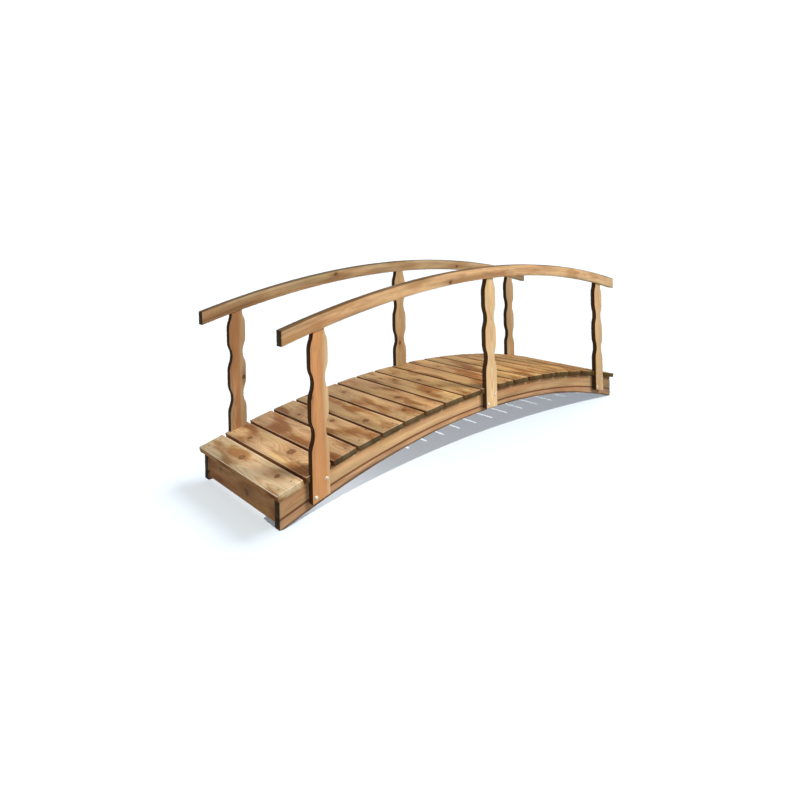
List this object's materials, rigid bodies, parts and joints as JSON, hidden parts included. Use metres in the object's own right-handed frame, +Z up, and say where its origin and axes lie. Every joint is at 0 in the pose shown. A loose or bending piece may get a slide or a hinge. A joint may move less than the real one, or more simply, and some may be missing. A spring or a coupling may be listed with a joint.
{
  "type": "arched timber garden footbridge",
  "caption": "Small arched wooden footbridge with board treads, two laminated curved stringers and an arched handrail on wavy-edged posts at each side.",
  "frame": {"origin": "on the ground, under the middle of the bridge", "axes": "+X along the bridge to its right end, +Y across it to the far side, +Z up"},
  "size_m": [3.0042, 0.89, 1.112],
  "materials": {
    "stringer_wood": "planed pressure-treated pine, honey yellow, matt",
    "handrail_wood": "planed pressure-treated pine, light tan, matt",
    "post_wood": "planed pressure-treated pine, orange tan, matt",
    "end_board_wood": "sawn pressure-treated pine, brown, matt",
    "tread_wood": "planed pressure-treated pine, tan with knots, matt",
    "bolt_steel": "bright zinc-plated"
  },
  "bodies": {
    "root": {"near_stringer_upper": "stringer_wood", "far_stringer_upper": "stringer_wood", "near_stringer_lower": "stringer_wood", "far_stringer_lower": "stringer_wood", "near_handrail": "handrail_wood", "far_handrail": "handrail_wood", "near_left_post": "post_wood", "near_mid_post": "post_wood", "near_right_post": "post_wood", "far_left_post": "post_wood", "far_mid_post": "post_wood", "far_right_post": "post_wood", "near_left_bolts": "bolt_steel", "near_mid_bolts": "bolt_steel", "near_right_bolts": "bolt_steel", "far_left_bolts": "bolt_steel", "far_mid_bolts": "bolt_steel", "far_right_bolts": "bolt_steel", "left_end_board": "end_board_wood", "right_end_board": "end_board_wood", "tread_01": "tread_wood", "tread_02": "tread_wood", "tread_03": "tread_wood", "tread_04": "tread_wood", "tread_05": "tread_wood", "tread_06": "tread_wood", "tread_07": "tread_wood", "tread_08": "tread_wood", "tread_09": "tread_wood", "tread_10": "tread_wood", "tread_11": "tread_wood", "tread_12": "tread_wood", "tread_13": "tread_wood", "tread_14": "tread_wood", "tread_15": "tread_wood", "tread_16": "tread_wood", "tread_17": "tread_wood", "tread_18": "tread_wood", "tread_19": "tread_wood"}
  },
  "joints": []
}
